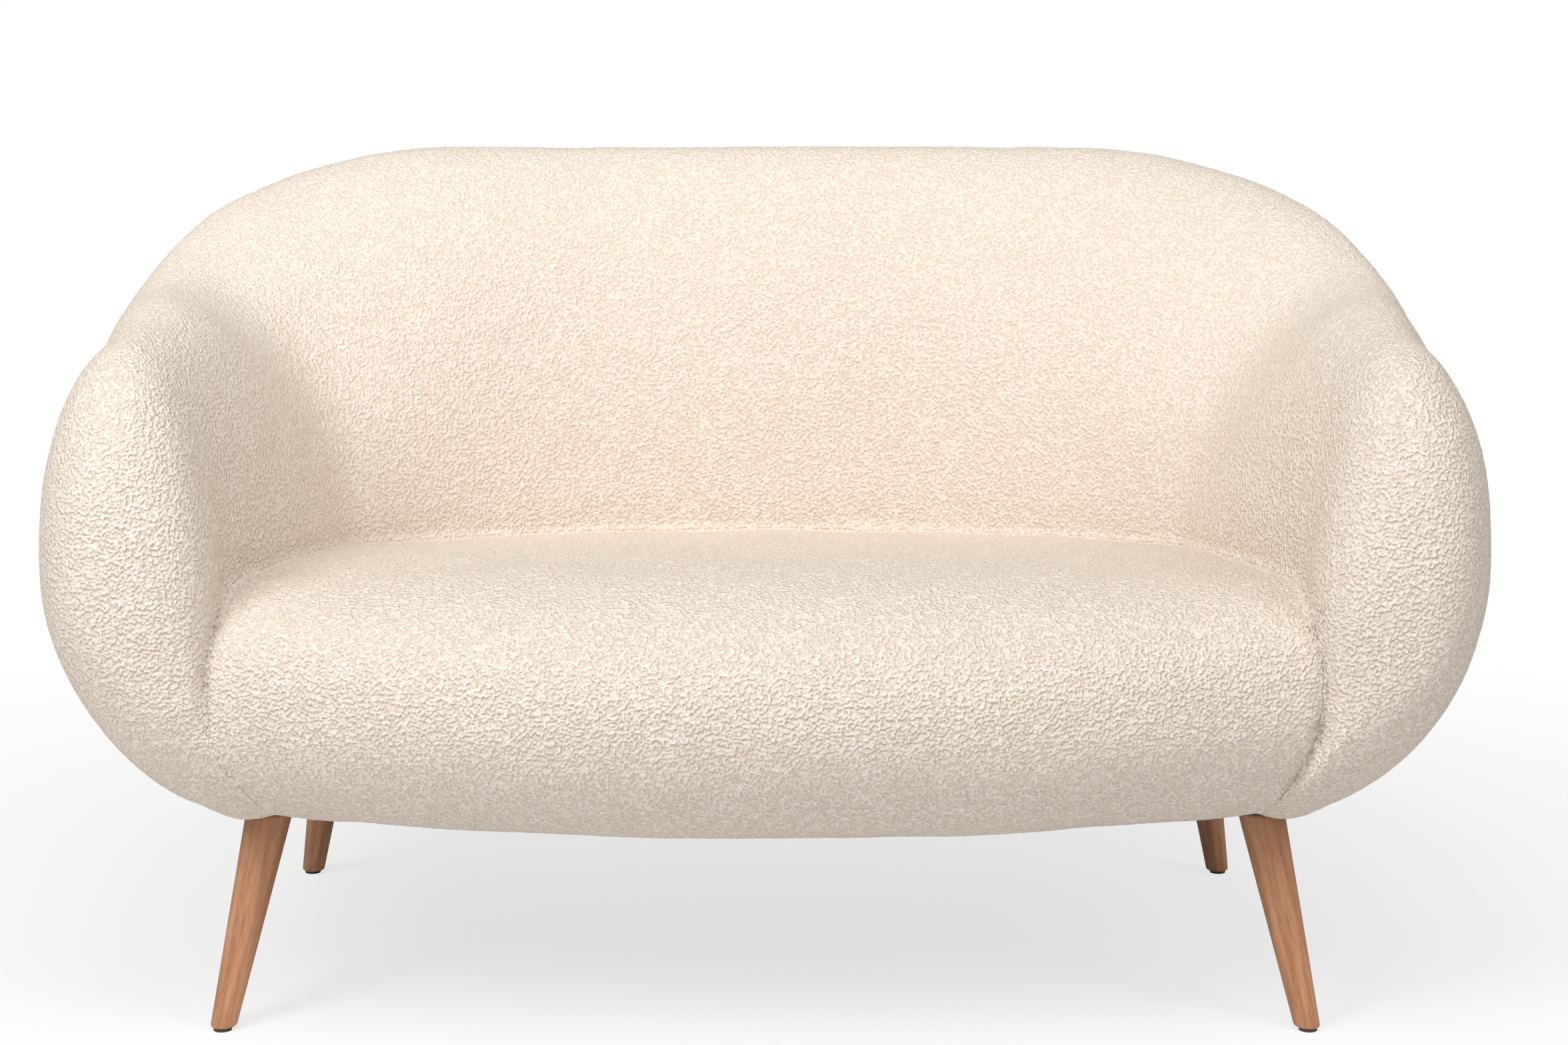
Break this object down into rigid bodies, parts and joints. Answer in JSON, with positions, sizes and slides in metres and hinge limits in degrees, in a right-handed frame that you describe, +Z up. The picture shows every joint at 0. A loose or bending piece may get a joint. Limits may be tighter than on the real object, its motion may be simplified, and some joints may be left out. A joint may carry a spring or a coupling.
{
  "type": "curved loveseat",
  "caption": "Curved tub-shaped loveseat: upholstered shell on a plywood frame, tight crowned seat and splayed tapered wooden legs.",
  "frame": {"origin": "on the floor under the middle of the body", "axes": "+Z up, +Y towards the back, +X to the right as one faces the sofa's front"},
  "size_m": [1.408, 0.8212, 0.848],
  "materials": {
    "boucle": "looped cream cloth",
    "foam": "open-cell foam",
    "plywood": "raw",
    "hardwood": "raw",
    "leg_wood": "satin lacquer",
    "webbing": "woven",
    "cambric": "thin non-woven",
    "steel": "zinc plated",
    "glide": "matte"
  },
  "bodies": {
    "root": {"leg_front_left": "leg_wood", "hanger_bolt_front_left": "steel", "leg_block_front_left": "hardwood", "foot_glide_front_left": "glide", "leg_front_right": "leg_wood", "hanger_bolt_front_right": "steel", "leg_block_front_right": "hardwood", "foot_glide_front_right": "glide", "leg_rear_left": "leg_wood", "hanger_bolt_rear_left": "steel", "leg_block_rear_left": "hardwood", "foot_glide_rear_left": "glide", "leg_rear_right": "leg_wood", "hanger_bolt_rear_right": "steel", "leg_block_rear_right": "hardwood", "foot_glide_rear_right": "glide", "base_board_front": "plywood", "base_board_rear": "plywood", "base_board_left": "plywood", "base_board_right": "plywood", "apron_front": "hardwood", "apron_rear": "hardwood", "apron_left": "hardwood", "apron_right": "hardwood", "seat_stretcher": "hardwood", "seat_web_1": "webbing", "seat_web_2": "webbing", "seat_web_3": "webbing", "seat_web_4": "webbing", "seat_web_5": "webbing", "cross_web_1": "webbing", "cross_web_2": "webbing", "back_web_1": "webbing", "back_web_2": "webbing", "back_web_3": "webbing", "crest_rail_back": "hardwood", "crest_rail_left": "hardwood", "crest_rail_right": "hardwood", "low_back_rail": "hardwood", "rib_back_centre": "plywood", "rib_back_left": "plywood", "rib_back_right": "plywood", "rib_corner_left": "plywood", "rib_corner_right": "plywood", "rib_arm_left": "plywood", "rib_arm_right": "plywood", "arm_front_panel_left": "plywood", "arm_front_panel_right": "plywood", "back_foam": "foam", "corner_foam_left": "foam", "corner_foam_right": "foam", "arm_foam_left": "foam", "arm_foam_right": "foam", "seat_foam": "foam", "front_roll_foam": "foam", "inner_cover": "boucle", "outer_cover": "boucle", "seat_cover": "boucle", "dust_cover": "cambric"}
  },
  "joints": []
}
